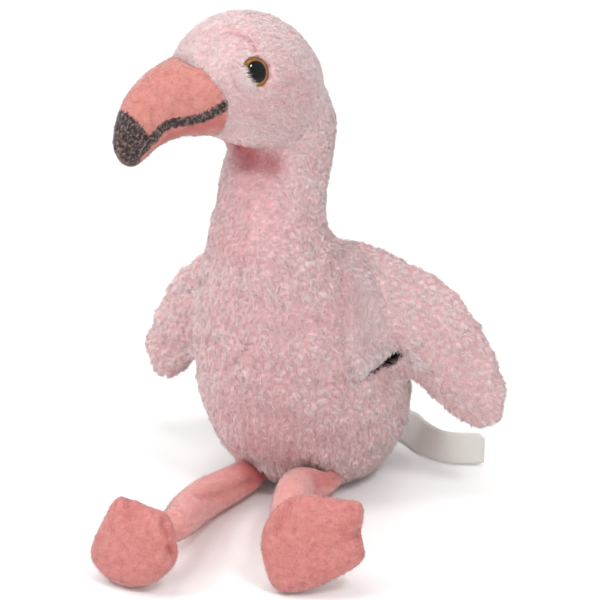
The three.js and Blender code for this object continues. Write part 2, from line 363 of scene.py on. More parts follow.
narrow = {"radius": 2, "step": 2.5 * mm}


def layOn(obj, lines):  # lays the narrow lines on the surface itself, so that their own radius is what counts
    for fold in lines:
        if fold["radius"] > narrow["radius"]:
            continue
        corners = np.array(fold["line"], float) * mm
        spots = [corners[0]]
        for start, end in zip(corners[:-1], corners[1:]):
            count = max(1, round(float(far(end - start)) / narrow["step"]))
            spots += [start + (end - start) * k / count for k in range(1, count + 1)]
        fold["line"] = [np.array(obj.closest_point_on_mesh(Vector(spot))[1]) / mm for spot in spots]


def press(obj, lines):
    for fold in lines:
        swell(obj, -fold["depth"] * mm * bell(lineGap(points(obj), fold["line"]), fold["radius"] * mm))


def shadeOver(places, lines):
    total = np.zeros(len(places))
    for fold in lines:
        total += fold["paintedShade"] * bell(lineGap(places, fold["line"]) / mm, fold["radius"])
    return np.clip(total, 0, 1)


def soften(obj, plan):  # smooths the mesh round a line
    near = bell(lineGap(points(obj), plan["line"]), plan["radius"] * mm)
    group = obj.vertex_groups.new(name="soften")
    for i in np.flatnonzero(near > plan["least"]):
        group.add([int(i)], float(near[i]), "REPLACE")
    shape(obj, "SMOOTH", factor=0.5, iterations=plan["rounds"], vertex_group=group.name)


def nodeTree(node):
    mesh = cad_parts[node].data
    return BVHTree.FromPolygons([v.co for v in mesh.vertices], [p.vertices for p in mesh.polygons])


def nodeGap(places, node):
    tree = nodeTree(node)
    return np.array([tree.find_nearest(Vector(place))[3] for place in places])


def unwrap(obj):
    obj.data.uv_layers.new(name="OFBake")
    inEdit(obj, bpy.ops.uv.smart_project, angle_limit=66 * degree, island_margin=0.002)


def stand(obj, nodes, finish):
    obj.data.materials.append(finish)
    pick(obj)
    bpy.ops.object.shade_smooth()
    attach(obj, "root")
    if nodes:
        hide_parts(*nodes)


# The head's own directions

head = {"centre": (-6.5, -32, 145), "turn": -30 * degree}
headAhead = np.array([math.sin(head["turn"]), -math.cos(head["turn"]), 0])
headSide = np.array([math.cos(head["turn"]), math.sin(head["turn"]), 0])
headUp = np.array([0, 0, 1.0])
headCentre = np.array(head["centre"]) * mm


def headPlace(ahead, side, up):
    return headCentre + (headAhead * ahead + headSide * side + headUp * up) * mm


def inHead(places):
    away = (places - headCentre) / mm
    return away @ headAhead, away @ headSide, away @ headUp


# The plush cover under its pile

cover = {"nodes": ("head", "neck", "body", "wing_left", "wing_right", "tail"), "bridge": 0.5 * mm,
         "voxel": 0.9 * mm, "smoothing": 14, "blend": 2.5 * mm, "back": 0.6, "collar": 0.4 * mm,
         "collarWidth": 1.6 * mm, "evening": 3, "eyeBed": 0.5 * mm, "eyeMargin": -0.1 * mm}
regions = {  # of the head, neck, body, left wing, right wing and tail
    "depth": (0.9, 1.1, 1.3, 1.2, 1.3, 1.2),  # how deep the pile stands under its tips
    "length": (1.5, 1.9, 2.1, 2.0, 2.1, 2.0),
    "lift": (15, 17, 18, 17, 19, 17),
    "clump": (2.6, 2.9, 3.0, 3.0, 3.6, 3.0),  # how big its clumps are, and below how strong
    "clumped": (0.42, 0.75, 1.0, 0.9, 1.3, 0.8),
    "way": ((0, 0, -0.35), (0, 0.05, -1), (0, 0.05, -1), (0.72, 0.12, -0.68), (-0.72, 0.12, -0.68),
            (0, 1, -0.25)),  # the way the pile lies, added to straight back on the head
}
lie = {"base": 19, "seam": 0.9, "seamReach": 1.4 * mm}
blushAndShadeSpots = [  # centre, radius and strength of pinker places in the pile: its own pinker colour on the neck, chest, wing root and forehead, and painted shade under the chin and round the seat
    ((3, -46, 108), 11, 0.5), ((-2, -50, 96), 11, 0.5), ((29, -26, 72), 13, 0.55), ((-3, -45, 164), 6, 0.5),
    ((-4, -41, 122), 9, 0.9), ((0, -30, 22), 26, 0.45), ((2, -44, 66), 24, 0.3), ((4, -44, 108), 14, 0.3),
]
# the shorn tone paints the root of the left wing paler: painted light where its hollow falls in shade
shorn = {"centre": (30, -20, 70), "radius": 13, "smooth": 0.85, "tone": 0.25}
# the opening under the left wing; deep in it the skin is painted near black as painted shade
slit = {"line": [(31, -27.6, 47.6), (33.5, -22.5, 49.2), (35.3, -16, 50.2), (36, -8, 50.6)], "narrow": 0.7,
        "wide": 2.3, "depth": 7, "pitShadeWidth": 1.5, "pitShadeEdge": 3}
folds = [  # lines in the plush: radius, depth, how much painted shade lies along them, and their points
    # under the chin, folds with painted shade in them
    groove(4.2, 2.2, 0.8, (-9, -37, 126.5), (-4, -39, 125), (1.5, -40, 123.5), (5, -38.5, 122.5)),
    groove(3.6, 0.6, 0.5, (-8, -38.5, 124.5), (-3.5, -40, 122.5)),
    # front seam of the left wing
    groove(1.8, 0.45, 0.1, (25.8, -26.3, 83.3), (27.8, -30.2, 73.8), (28.5, -31.5, 62.2), (31, -28, 50)),
    groove(2.6, -1.5, 0, (32, -26.5, 51.5), (35, -20, 53.5), (37.5, -11, 54.5)),  # lip over the opening
    groove(6.5, -4.4, 0, (23, -9, 85), (28.5, -9, 77), (33, -9, 68.5), (35.5, -9, 61)),  # shoulder
    groove(1.0, 0.8, 0.26, (-5, -46.9, 165.5), (-2.8, -46.5, 165.4), (-0.4, -45.7, 164.8),
           (2, -45.6, 163.8), (3.5, -45.9, 162.5), (4.8, -46.5, 160.8)),  # on the forehead
    groove(0.9, 0.6, 0.22, (-11.4, -53.3, 159.3), (-9.6, -53.4, 159.5), (-7.8, -52.8, 160.2)),  # by the beak
    groove(0.9, 0.4, 0.1, (13.5, -37.1, 155.7), (13.9, -32.4, 156.4), (13.9, -26.8, 155.9)),  # on the head
    groove(0.9, 0.4, 0.1, (8.4, -50.1, 144.1), (11.3, -47, 145.3), (13.7, -43.6, 144.2)),
    groove(0.9, 0.4, 0.1, (2.3, -53.2, 140.3), (5.7, -51.6, 140.9), (8.2, -49.2, 139.7)),
    groove(13, 0, 0.2, (8.3, -49.8, 142.1), (13.2, -44, 142.6)),  # painted shade on the cheek
    groove(1.0, 0.4, 0.1, (15.8, -38.9, 144.9), (16.9, -34.7, 145.4), (17.3, -29.3, 143.9)),
    groove(0.9, 0.5, 0.12, (0.9, -45.6, 111.6), (1.7, -48.8, 103.9), (1.2, -50.8, 93.1),
           (-1.6, -48.6, 78.4)),  # down the neck
    groove(2.2, 1.2, 0.2, (-59.7, -2.2, 36.4), (-54.1, -3.3, 35.9), (-48.9, -2.9, 34.7)),  # right wing
    groove(1.3, 0.8, 0.16, (1.5, -47.2, 62.9), (-2.7, -46.4, 57.7), (-7.2, -45.2, 52.5)),  # chest
    groove(1.2, 0.7, 0.16, (-16.8, -42.6, 61.6), (-13.3, -44.2, 59.3), (-9.8, -45.1, 57.7)),
    groove(1.0, 0.6, 0.16, (21, -39.9, 73.5), (22.5, -38.5, 71.9), (23.9, -36.9, 70.6)),
    groove(0.9, 0.4, 0.1, (12.8, -44.6, 147.8), (14.9, -39.7, 150.1), (16, -32.4, 151.5)),  # on the head
]
hollow = {"line": [(20, -9, 87), (27, -9, 79), (33, -9, 68.5), (36, -9, 60)], "radius": 8, "least": 0.05,
          "rounds": 60}


def buildCover():
    skin = softCopy("plush_skin", (*cover["nodes"], "eye_left", "eye_right"))
    shape(skin, "DISPLACE", strength=cover["bridge"], mid_level=0.0)
    remesh(skin, cover["voxel"], cover["smoothing"])
    places = points(skin)
    gaps = np.stack([nodeGap(places, node) for node in cover["nodes"]], 1)
    near = np.exp(-(gaps - gaps.min(1, keepdims=True)) / cover["blend"])
    shares = near / near.sum(1, keepdims=True)
    depth = (shares @ table("depth")) * mm
    collar = cover["collar"] * bell(nodeGap(places, "beak"), cover["collarWidth"])
    swell(skin, -(depth + cover["bridge"] * cover["back"] - collar))
    shape(skin, "SMOOTH", factor=0.5, iterations=cover["evening"])
    layOn(skin, folds)
    press(skin, folds)
    soften(skin, hollow)
    for side in (1, -1):
        places = points(skin)
        high, under = underEye(places, side, cover["eyeMargin"])
        sunk = np.where(under, high + cover["eyeBed"], 0)
        movePoints(skin, places - np.array(eyeWay(side)) * sunk[:, None])
    unwrap(skin)
    return skin, shares


def underEye(places, side, margin):  # how high each place is over the back of an eye, and which are behind it
    away, out = places - np.array(eyeSpot(side)), np.array(eyeWay(side))
    high = away @ out
    flat = far(away - high[:, None] * out)
    return high, (flat < eye["radius"] + margin) & (np.abs(high) < eye["depth"])


def table(key):  # one row for each node of the cover
    return np.array(regions[key], float)


clumping = {"seed": 5, "squash": (1, 1, 1.65), "trials": 60000, "most": 30000, "sizes": (0.6, 1.25),
            "curl": 60 * degree, "rise": 0.66 * mm, "slope": 0.22, "uneven": 0.5, "edge": 0.9,
            "skinTone": 0.5, "waves": 9,
            "wander": {"seed": 6, "shortest": 2.2 * mm, "longest": 6 * mm, "reach": 0.8 * mm},
            "swell": {"seed": 7, "shortest": 5 * mm, "longest": 15 * mm, "reach": 0.34 * mm}}
combing = {"least": 0.3, "low": 22, "over": 24}


def waves(places, plan):  # a smooth wandering of places, from a few sine waves
    rng = np.random.default_rng(plan["seed"])
    total = np.zeros_like(places)
    for number in range(clumping["waves"]):
        wave = unit(rng.normal(size=3)) * math.tau / rng.uniform(plan["shortest"], plan["longest"])
        total += rng.normal(size=3) * np.sin(places @ wave + rng.uniform(0, math.tau))[:, None]
    return total * plan["reach"] / math.sqrt(clumping["waves"])


def clumpSpace(places):
    return places * np.array(clumping["squash"]) + waves(places, clumping["wander"])


def buildClumps(skin, shares):  # soft clumps of pile, each combed its own way and highest at its free end
    rng = np.random.default_rng(clumping["seed"])
    heads = scatter(skin, clumping["trials"], rng, np.ones(len(shares)))
    headShares = heads["at"](shares)
    size = (headShares @ table("clump")) * mm * rng.uniform(*clumping["sizes"], len(headShares))
    kept = spread(clumpSpace(heads["place"]), size, clumping["most"])
    place, normal, gap = heads["place"][kept], heads["normal"][kept], size[kept]
    flow = unit(across(flowOver(place, headShares[kept]), normal))
    flow = tilt(flow, np.cross(normal, flow), rng.normal(0, clumping["curl"], len(kept)) * combed(place))
    tone = rng.random(len(kept))
    tree = kdtree.KDTree(len(kept))
    for i, spot in enumerate(clumpSpace(place)):
        tree.insert(spot, i)
    tree.balance()

    places = points(skin)
    found = [tree.find_n(spot, 2) for spot in clumpSpace(places)]
    owner = np.array([pair[0][1] for pair in found])
    apart = np.array([pair[1][2] - pair[0][2] for pair in found])
    inner = np.clip(apart / (clumping["edge"] * gap[owner]), 0, 1)
    inner = inner ** 2 * (3 - 2 * inner)
    run = ((places - place[owner]) * flow[owner]).sum(1) / gap[owner]
    clumped = clumpedOver(places, shares)
    uneven = (tone[owner] - 0.5) * clumping["uneven"]
    height = (inner - 0.5 + run * clumping["slope"] + uneven) * clumping["rise"]
    swell(skin, (height + waves(places, clumping["swell"])[:, 0]) * clumped)
    opening = slitOver(points(skin))
    swell(skin, -slit["depth"] * mm * np.exp(-(opening ** 4)))
    # the valleys of the clumps, where the pile is painted pinker and deeper as shade
    crease = (1 - inner) * clumped
    keep(skin, "crease", crease)
    # the shorn tone is painted light, paler at the root of the left wing
    keep(skin, "tone", tone[owner] * clumping["skinTone"] + shornOver(places) * shorn["tone"])
    print("clumps", len(kept))
    return {"tree": tree, "place": place, "normal": normal, "flow": flow, "tone": tone, "gap": gap,
            "crease": crease, "opening": opening}


def combed(places):  # the pile is combed downwards round the seat
    share = np.clip((places[:, 2] / mm - combing["low"]) / combing["over"], 0, 1)
    return combing["least"] + (1 - combing["least"]) * share


def clumpedOver(places, shares):
    return (shares @ table("clumped")) * (1 - shorn["smooth"] * shornOver(places))


def shornOver(places):  # the short smooth pile at the root of the left wing, which is also painted paler there as painted light
    return bell(far(places / mm - np.array(shorn["centre"])), shorn["radius"])


def across(vectors, normal):  # what is left of them along the surface
    return vectors - (vectors * normal).sum(1, keepdims=True) * normal


def flowOver(places, shares):  # the way the pile lies, and towards the beak close to its seam
    ways = list(table("way"))
    ways[0] = unit(places - headPlace(lie["base"], 0, 0)) + ways[0]
    flow = sum(shares[:, [i]] * way for i, way in enumerate(ways))
    tree = nodeTree("beak")
    seam = np.array([tree.find_nearest(Vector(place))[0] for place in places]) - places
    return flow + unit(seam) * lie["seam"] * bell(far(seam), lie["seamReach"])[:, None]


def blushAndShadeOver(places):
    total = np.zeros(len(places))
    for centre, radius, strength in blushAndShadeSpots:
        total += strength * bell(far(places - np.array(centre) * mm) / mm, radius)
    return np.clip(total, 0, 1)


def slitOver(*sets):  # under 1 inside the slit, which opens from its front end to its back end
    line = np.array(slit["line"], float) * mm
    run = line[-1] - line[0]
    widths = []
    for places in sets:
        share = np.clip((places - line[0]) @ run / (run @ run), 0, 1)
        half = slit["narrow"] + (slit["wide"] - slit["narrow"]) * share
        widths.append(lineGap(places, slit["line"]) / mm / half)
    return np.minimum.reduce(widths)


# Tufts

def scatter(obj, count, rng, wanted):  # places on a mesh with what its corners hold there
    mesh = obj.data
    mesh.calc_loop_triangles()
    corner = read(mesh.loop_triangles, "vertices", 3, int)
    loops = read(mesh.loop_triangles, "loops", 3, int)
    places, facing = points(obj), normals(obj)
    a, b, c = (places[corner[:, i]] for i in range(3))
    area = far(np.cross(b - a, c - a)) * wanted[corner].mean(1)
    face = rng.choice(len(area), count, p=area / area.sum())
    first, second = rng.random(count), rng.random(count)
    over = first + second > 1
    first[over], second[over] = 1 - first[over], 1 - second[over]
    weights = np.stack([1 - first - second, first, second], 1)
    uv = read(mesh.uv_layers["OFBake"].data, "uv", 2)

    def at(values, which=corner):
        return (values[which[face]] * weights[..., None]).sum(1)

    return {"place": at(places), "normal": unit(at(facing)), "uv": at(uv, loops), "at": at}


def spread(places, gaps, limit):  # keeps places that stand apart by their own gap
    kept, cells, around = [], {}, (-1, 0, 1)
    for i, (x, y, z) in enumerate(np.floor(places / gaps.max()).astype(int).tolist()):
        near = [(x + a, y + b, z + c) for a in around for b in around for c in around]
        near = [other for cell in near for other in cells.get(cell, ())]
        if near and ((places[near] - places[i]) ** 2).sum(1).min() < gaps[i] ** 2:
            continue
        cells.setdefault((x, y, z), []).append(i)
        kept.append(i)
        if len(kept) >= limit:
            break
    return np.array(kept)


tuft = {"flat": 0.65, "round": 0.35, "patch": 0.003}


def tuftMesh(name, rings, widths, tips, sideways, facing, uv, values):  # three-sided, through rings to a tip
    count, levels = len(tips), len(rings)
    stations = [*rings, tips]
    corners = np.empty((count, 3 * levels + 1, 3))
    for level, (centre, width) in enumerate(zip(rings, widths)):
        ahead = unit(stations[level + 1] - centre)
        beside = unit(across(sideways, ahead))
        through = np.cross(ahead, beside) * tuft["flat"]
        for k in range(3):
            turn = math.tau * k / 3
            corners[:, 3 * level + k] = centre + (beside * math.cos(turn) + through * math.sin(turn)) * width
    corners[:, -1] = tips
    order, sizes, patchUv = [0, 2, 1], [3], [(0, 0), (0.04, 0), (0, 0.04)]
    for level in range(levels - 1):
        low, high = level / levels, (level + 1) / levels
        for k in range(3):
            after = (k + 1) % 3
            order += [3 * level + k, 3 * level + after, 3 * level + 3 + after, 3 * level + 3 + k]
            patchUv += [(k / 3, low), ((k + 1) / 3, low), ((k + 1) / 3, high), (k / 3, high)]
            sizes.append(4)
    for k in range(3):
        last = 3 * levels - 3
        order += [last + k, last + (k + 1) % 3, 3 * levels]
        patchUv += [(k / 3, 1 - 1 / levels), ((k + 1) / 3, 1 - 1 / levels), ((k + 0.5) / 3, 1)]
        sizes.append(3)
    mesh = bpy.data.meshes.new(name)
    mesh.vertices.add(corners.shape[0] * corners.shape[1])
    mesh.vertices.foreach_set("co", corners.astype(np.float32).ravel())
    loops = (np.arange(count)[:, None] * corners.shape[1] + np.array(order)).astype(np.int32).ravel()
    totals = np.tile(np.array(sizes, np.int32), count)
    mesh.loops.add(len(loops))
    mesh.loops.foreach_set("vertex_index", loops)
    mesh.polygons.add(len(totals))
    mesh.polygons.foreach_set("loop_start", np.concatenate([[0], np.cumsum(totals)[:-1]]).astype(np.int32))
    mesh.polygons.foreach_set("loop_total", totals)
    mesh.update(calc_edges=True)
    layer = mesh.uv_layers.new(name="OFBake")
    spots = uv[:, None, :] + (np.array(patchUv) - 0.5) * tuft["patch"]
    layer.data.foreach_set("uv", spots.astype(np.float32).ravel())
    obj = bpy.data.objects.new(name, mesh)
    bpy.context.scene.collection.objects.link(obj)
    along = np.repeat(np.arange(levels + 1) / levels, [3] * levels + [1])
    # under runs from root to tip: the roots' own deeper pink, and partly painted shade among the tufts
    keep(obj, "under", np.tile(1 - along, count))
    centres = np.concatenate([np.repeat(np.stack(rings, 1), 3, axis=1), rings[-1][:, None]], 1)
    soft = unit(unit(corners - centres) * tuft["round"] + facing[:, None])
    mesh.normals_split_custom_set_from_vertices(soft.reshape(-1, 3))
    for key, value in values.items():
        keep(obj, key, np.repeat(value, corners.shape[1]))
    return obj


# The pile of the plush: fine short tufts all over, and curved locks that stand out of it

# marks carried to the tufts: crease and deep are painted shade, the pinker places are partly painted shade,
# and tone is partly painted light
marks = ("crease", "tone", "blushAndShade", "deep")
pile = {"seed": 11, "tufts": 240000, "layers": 6, "width": 0.12 * mm, "widths": (0.75, 1.25),
        "lengths": (0.7, 1.15), "sunk": 0.12 * mm, "headShare": 1.6, "topShare": 0.6, "clear": 0.3 * mm,
        "underEye": 0.1 * mm, "ground": 0.6 * mm, "skinTone": 1.1, "skinShade": 0.13, "skinTopShade": 0.68,
        "liftSpread": 8, "seamLift": 24, "seamReach": 1.6 * mm, "gather": 0.22, "gatherAhead": 0.8,
        "gatherUp": 0.6 * mm, "slitEdge": 1.25, "slitClear": 0.8, "flow": 0.4, "clumpFlow": 0.5, "stray": 0.5,
        "clumpTone": 0.4}
locks = {"seed": 12, "tufts": 36000, "layers": 2, "width": 0.15 * mm, "widths": (0.6, 1.2), "taper": 0.8,
         "length": 1.25, "rootLift": 34, "tipLift": 2, "curl": 0.3 * mm, "tipCurl": 1.6, "pull": 2,
         "slitEdge": 1.2, "slitClear": 0.55}
fringes = [  # lines where more locks stand out, with their way, length and share
    {"line": [(31, -27, 50.5), (34, -21, 52.5), (37, -11, 53.5), (43, -6, 47)], "radius": 2.6, "share": 18,
     "way": (0.1, -0.8, -0.7), "length": 1.3, "pale": 0.45},
    {"line": [(-8, -34, 14), (0, -34.5, 12), (9, -34, 12), (18, -31, 12), (27, -25, 12)], "radius": 4.5,
     "share": 6, "way": (0, -0.1, -1), "length": 1.35, "pale": 0.2},
]


def growPile(skin, shares, clumps, finish):
    places = points(skin)
    eyeGap = np.minimum(nodeGap(places, "eye_left"), nodeGap(places, "eye_right"))
    crease = np.clip(clumps["crease"], 0, 1)
    wanted = (1 + (pile["headShare"] - 1) * shares[:, 0]) * (1 + pile["topShare"] - pile["topShare"] * crease)
    wanted[(nodeGap(places, "beak") < pile["clear"]) | (eyeGap < pile["clear"])] = 0
    wanted[underEye(places, 1, pile["underEye"])[1] | underEye(places, -1, pile["underEye"])[1]] = 0
    wanted[places[:, 2] < pile["ground"]] = 0
    layOn(skin, folds)
    keep(skin, "blushAndShade", blushAndShadeOver(places))
    # painted shade on the skin among the tufts, stronger in the creases than on the tops of the clumps, with
    # pink that is partly the backing's own
    skinShadeShare = pile["skinTopShade"] + (1 - pile["skinTopShade"]) * crease
    keep(skin, "deep", np.clip(shadeOver(places, folds) + pile["skinShade"] * skinShadeShare, 0, 1))
    keep(skin, "under", pile["skinTone"] * skinShadeShare)
    # the skin deep in the opening is painted near black, as painted shade
    keep(skin, "pitShade", np.clip((slit["pitShadeWidth"] - clumps["opening"]) * slit["pitShadeEdge"], 0, 1))

    count = pile["tufts"]
    fine = plant(skin, shares, clumps, wanted, count, np.random.default_rng(pile["seed"]))
    edge = bell(nodeGap(fine["place"], "beak"), pile["seamReach"]) * pile["seamLift"]
    lift = (fine["shares"] @ table("lift") + fine["rng"].normal(0, pile["liftSpread"], count) + edge) * degree
    root = fine["place"] - fine["normal"] * pile["sunk"]
    tip = root + tilt(fine["flow"], fine["normal"], lift) * fine["length"][:, None]
    clumpTip = (clumps["place"] + clumps["flow"] * clumps["gap"][:, None] * pile["gatherAhead"]
                + clumps["normal"] * pile["gatherUp"])
    gather = pile["gather"] * fine["rng"].random(count) * np.minimum(fine["clumped"], 1)
    tip = tip + (clumpTip[fine["owner"]] - tip) * gather[:, None]
    width = pile["width"] * fine["rng"].uniform(*pile["widths"], count)[:, None]
    clear = (fine["opening"] > pile["slitEdge"]) & (slitOver((root + tip) / 2, tip) > pile["slitClear"])
    addLayers("pile", pile, [root], [width], tip, fine, clear, finish)

    for fringe in fringes:
        near = bell(lineGap(places, fringe["line"]) / mm, fringe["radius"])
        wanted = wanted * (1 + fringe["share"] * near)
    count = locks["tufts"]
    long = plant(skin, shares, clumps, wanted, count, np.random.default_rng(locks["seed"]))
    length = long["length"] * locks["length"]
    flow = long["flow"]
    for fringe in fringes:
        near = bell(lineGap(long["place"], fringe["line"]) / mm, fringe["radius"])
        flow = flow + near[:, None] * locks["pull"] * unit(np.array(fringe["way"], float))
        length = length * (1 + near * (fringe["length"] - 1))
        long["tone"] += near * fringe["pale"]
    flow = unit(across(flow, long["normal"]))
    bend = long["rng"].normal(0, locks["curl"], count)[:, None] * long["sideways"]
    root = long["place"] - long["normal"] * pile["sunk"]
    half = length[:, None] * 0.5
    low, high = (np.full(count, locks[lift] * degree) for lift in ("rootLift", "tipLift"))
    middle = root + tilt(flow, long["normal"], low) * half + bend
    tip = middle + tilt(flow, long["normal"], high) * half - bend * locks["tipCurl"]
    width = locks["width"] * long["rng"].uniform(*locks["widths"], count)[:, None]
    beside = slitOver((root + middle) / 2, middle, (middle + tip) / 2, tip)
    clear = (long["opening"] > locks["slitEdge"]) & (beside > locks["slitClear"])
    addLayers("locks", locks, [root, middle], [width, width * locks["taper"]], tip, long, clear, finish)


def addLayers(name, plan, rings, widths, tip, roots, clear, finish):  # shares the tufts over a few meshes
    layer = np.where(clear, np.arange(len(tip)) % plan["layers"], -1)
    for number in range(plan["layers"]):
        part = layer == number
        own = {key: roots[key][part] for key in ("sideways", "normal", "uv", *marks)}
        tufts = tuftMesh(f"{name}_{number + 1}", [ring[part] for ring in rings],
                         [width[part] for width in widths], tip[part], own["sideways"], own["normal"],
                         own["uv"], {mark: own[mark] for mark in marks})
        stand(tufts, (), finish)
    print(name, len(tip))


def plant(skin, shares, clumps, wanted, count, rng):  # roots with their lie, length and marks
    roots = scatter(skin, count, rng, wanted)
    place, normal, rootShares = roots["place"], roots["normal"], roots["at"](shares)
    owner = np.array([clumps["tree"].find(spot)[1] for spot in clumpSpace(place)])
    clumped = clumpedOver(place, rootShares)
    flow = unit(across(flowOver(place, rootShares), normal)) * pile["flow"]
    flow = flow + clumps["flow"][owner] * np.minimum(clumped, 1)[:, None] * pile["clumpFlow"]
    flow = unit(across(flow + rng.normal(0, pile["stray"], (count, 3)), normal))
    length = (rootShares @ table("length")) * mm * rng.uniform(*pile["lengths"], count)
    onSkin = roots["at"](np.stack([clumps["crease"], clumps["opening"]], 1))
    tone = clumps["tone"][owner] * pile["clumpTone"] * np.minimum(clumped, 1)
    # the shorn tone is painted light, paler at the root of the left wing
    tone = tone + rng.random(count) * (1 - pile["clumpTone"]) + shornOver(place) * shorn["tone"]
    # deep is painted shade along the folds
    return {"rng": rng, "place": place, "normal": normal, "shares": rootShares, "owner": owner, "flow": flow,
            "length": length, "sideways": unit(np.cross(normal, flow)), "uv": roots["uv"],
            "clumped": clumped, "crease": onSkin[:, 0], "opening": onSkin[:, 1], "tone": tone,
            "blushAndShade": blushAndShadeOver(place), "deep": shadeOver(place, folds)}


# Velour pieces: beak, legs and feet

velour = {
    "beak": {"fill": 0.9, "seam": "side", "pressure": 5.0,
             "tongues": [((-10.5, -38.9, 145), (-17, -50.2, 145), 17.9, 16.0, 0.83)]},
    "leg_right": {"fill": 0.6, "seam": "below", "pressure": 3.0,
                  "tongues": [((-9, -12, 8.2), (-9, -30, 7.4), 6.0, 6.1, 1),
                              ((-4, -85, 14.8), (-2, -100, 18), 5.7, 5, 1)]},
    "leg_left": {"fill": 0.6, "seam": "below", "pressure": 3.0,
                 "tongues": [((15, -8, 9.5), (16.6, -25, 8.7), 6.0, 6.0, 1),
                             ((27, -70.5, 16.8), (35, -82, 19.2), 5.8, 5, 1)]},
    "foot_right": {"fill": 0.7, "seam": "edge", "pressure": 4.0, "tongues": []},
    "foot_left": {"fill": 0.7, "seam": "edge", "pressure": 4.0, "tongues": []},
}
sewing = {"rough": 1.2 * mm, "evening": 2, "inset": 0.35 * mm, "held": 0.9, "frames": 14, "cap": 0.9 * mm,
          "voxel": 0.7 * mm, "smoothing": 4, "sunk": 0.1 * mm, "groove": 0.22 * mm, "grooveWidth": 0.6 * mm}
creases = {  # the same in the velour, with painted shade along them
    "foot_right": [
        groove(2.0, 1.5, 0.12, (-12.9, -99.8, 28.8), (-9.1, -106.2, 25.6)),
        groove(1.4, 1.4, 0.28, (4.2, -103, 27), (3, -104.8, 24), (4.8, -104.6, 20.5)),
        groove(1.4, 1.8, 0.7, (5.5, -105.9, 17.2), (6.5, -105.1, 15.4)),
    ],
    "foot_left": [
        groove(1.5, 1.4, 0.2, (35, -83.9, 30.8), (34, -88.1, 25.3), (32.4, -89.7, 20.8)),
        groove(1.8, 1.4, 0.12, (56.8, -77.4, 20.9), (53.5, -81, 20.5)),
    ],
    "leg_right": [
        groove(1.9, 1.2, 0.22, (-4.5, -36, 8), (-5.5, -48, 9.5), (-6.5, -60, 12), (-6, -70, 15)),
        # painted shade where the right leg meets the body
        groove(7, 0, 0.85, (-4.8, -33, 14.1), (-2.2, -30.7, 9.9), (-1.3, -26.5, 4.6)),
    ],
    "leg_left": [
        # painted shade where the left leg meets the body
        groove(5, 0, 0.45, (21, -35.7, 13.3), (21.2, -28.7, 13), (22.4, -21.8, 10.7)),
    ],
    "beak": [
        groove(0.9, -0.9, 0.1, (-14.2, -53, 157.6), (-13, -53.4, 157.8)),
        groove(0.7, 0.6, 0.3, (-12, -55.5, 156.2), (-10.6, -55.6, 156)),
        # painted shade under the mouth
        groove(3.4, 0, 0.42, (-16.3, -63.1, 134), (-11.4, -59.1, 136.2), (-6.9, -57.6, 137.7),
               (-3.5, -56.1, 139)),
    ],
}
nap = {"seed": 23, "perArea": 3.0 / (mm * mm), "length": 0.95 * mm, "lengths": (0.7, 1.15), "width": 0.1 * mm,
       "widths": (0.8, 1.2), "lifts": (8, 62), "sunk": 0.08 * mm, "way": (0, -0.2, -0.5), "stray": 0.4,
       "sway": 0.5, "skinTone": 0.2, "swayTone": 0.12, "tones": 0.7, "lump": 0.04 * mm,
       "wander": {"seed": 24, "shortest": 1.8 * mm, "longest": 6 * mm, "reach": 1.0}}
mouth = {  # spray marks of the beak as (ahead, up) of the head's centre
    "line": [(17.5, -0.2), (20.5, -2.4), (23.5, -4.2), (26.5, -5.2), (30, -5.5), (33, -5.6), (35.4, -6.6),
             (37.7, -9.1), (38.5, -10.8)],
    "half": 1.9, "tip": [(46.5, -0.5), (44.4, -2.5), (42.5, -5.6), (40.3, -8.8), (38.7, -10.9), (39.2, -14),
                          (41.2, -15.6)],
    "core": 0.35, "soft": 1.1, "level": 0.55, "within": 2.5, "beyond": 2.2, "top": -0.5,
    "faded": [((0, -1), 14, 6, 0.4), ((1, 0), 44.5, 4, 0.35)],  # way, start, over how far and how much
}


def sprayOver(places):
    ahead, side, up = inHead(places)
    flat = np.stack([ahead, up], 1)
    line = polyGap(flat, mouth["line"]) / mouth["half"]
    marked = 1 - np.clip((line - mouth["core"]) / mouth["soft"], 0, 1)
    edge = np.array(mouth["tip"])
    away = polyGap(flat, edge)
    inside = (ahead - np.interp(-up, -edge[:, 1], edge[:, 0]) > 0) & (up < mouth["top"])
    tip = mouth["level"] + np.where(inside, away / mouth["within"], -away / mouth["beyond"])
    tip = np.minimum(tip, 1)
    for way, start, over, share in mouth["faded"]:
        tip = tip - np.clip((flat @ np.array(way) - start) / over, 0, 1) * share
    return np.clip(np.maximum(marked, tip), 0, 1)


def seamOver(name, piece):  # distance in millimetres to the line where a piece's panels are sewn together
    kind, places = velour[name]["seam"], points(piece)
    if kind == "side":
        return np.abs(inHead(places)[1])
    if kind == "below":
        return (normals(piece)[:, 2] + 1) * 8
    middle = places.mean(0)
    facing = np.linalg.svd((places - middle)[::7], full_matrices=False)[2][2]
    return np.abs((places - middle) @ facing) / mm


def puff(piece, plan, seam):  # swells the sewn cover under pressure, held along its seam
    before = points(piece)
    held = piece.vertex_groups.new(name="seam")
    held.add([int(i) for i in np.flatnonzero(seam < sewing["held"])], 1.0, "REPLACE")
    cloth = piece.modifiers.new("puff", "CLOTH")
    cloth.settings.use_pressure = True
    cloth.settings.uniform_pressure_force = plan["pressure"]
    cloth.settings.effector_weights.gravity = 0
    cloth.settings.vertex_group_mass = "seam"
    cloth.point_cache.frame_end = sewing["frames"]
    for number in range(1, sewing["frames"] + 1):
        bpy.context.scene.frame_set(number)
    pick(piece)
    bpy.ops.object.modifier_apply(modifier="puff")
    bpy.context.scene.frame_set(1)
    moved = points(piece) - before
    held = np.minimum(1, sewing["cap"] / np.maximum(far(moved), 1e-9))
    movePoints(piece, before + moved * held[:, None])


